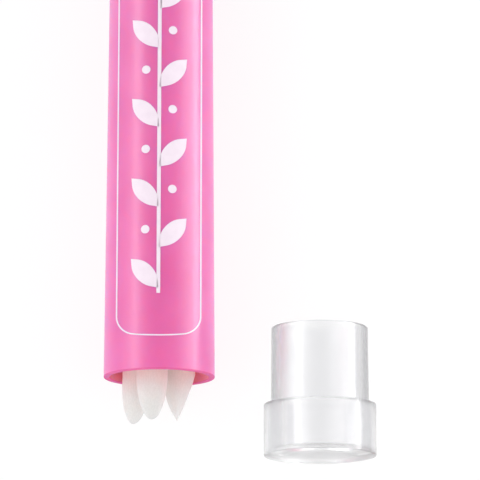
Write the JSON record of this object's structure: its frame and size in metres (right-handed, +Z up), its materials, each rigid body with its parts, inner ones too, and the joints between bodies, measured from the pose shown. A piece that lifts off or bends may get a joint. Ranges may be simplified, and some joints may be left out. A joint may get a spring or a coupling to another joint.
{
  "type": "nail polish corrector pen",
  "caption": "Round felt-tip corrector pen with a tapered barrel, a capped working end and an open rear store of spare felt tips, its clear stepped end plug lying beside it.",
  "frame": {"origin": "on the table, below the middle of the box round the lying pen and its plug", "axes": "+Y along the pen from its open rear store towards its working end, +Z up from the table, +X from the pen towards the plug"},
  "size_m": [0.0306, 0.1282, 0.0126],
  "materials": {
    "pink_plastic": "soft gloss moulded plastic with a printed white outline",
    "white_plastic": "satin moulded plastic",
    "film_plastic": "thin wrap",
    "fibre": "bundled fibre, wet with fluid",
    "felt": "pressed fibre felt",
    "seal_plastic": "soft natural plastic",
    "clear_plastic": "clear polished plastic"
  },
  "bodies": {
    "barrel": {"barrel": "pink_plastic", "mid_stopper": "white_plastic", "reservoir_film": "film_plastic", "reservoir_core": "fibre", "feed_wick": "fibre", "nib_holder": "white_plastic"},
    "front_cap": {"front_cap": "clear_plastic", "cap_seal": "seal_plastic"},
    "felt_tip": {"felt_tip": "felt"},
    "spare_tip_left": {"spare_tip_left": "felt"},
    "spare_tip_middle": {"spare_tip_middle": "felt"},
    "spare_tip_right": {"spare_tip_right": "felt"},
    "end_plug": {"end_plug": "clear_plastic"}
  },
  "joints": [
    {"name": "front_cap_pull", "type": "slide", "parent": "barrel", "child": "front_cap", "axis": [0, 1, 0], "range_m": [0, 0.035]},
    {"name": "felt_tip_pull", "type": "slide", "parent": "barrel", "child": "felt_tip", "axis": [0, 1, 0], "range_m": [0, 0.0068]},
    {"name": "spare_tip_left_slide", "type": "slide", "parent": "barrel", "child": "spare_tip_left", "axis": [0, 1, 0], "range_m": [-0.02, 0.0146]},
    {"name": "spare_tip_middle_slide", "type": "slide", "parent": "barrel", "child": "spare_tip_middle", "axis": [0, 1, 0], "range_m": [-0.02, 0.0146]},
    {"name": "spare_tip_right_slide", "type": "slide", "parent": "barrel", "child": "spare_tip_right", "axis": [0, 1, 0], "range_m": [-0.02, 0.0142]},
    {"name": "end_plug_carry", "type": "slide", "parent": "barrel", "child": "end_plug", "axis": [-0.6247, -0.7809, 0], "range_m": [0, 0.02881]}
  ]
}
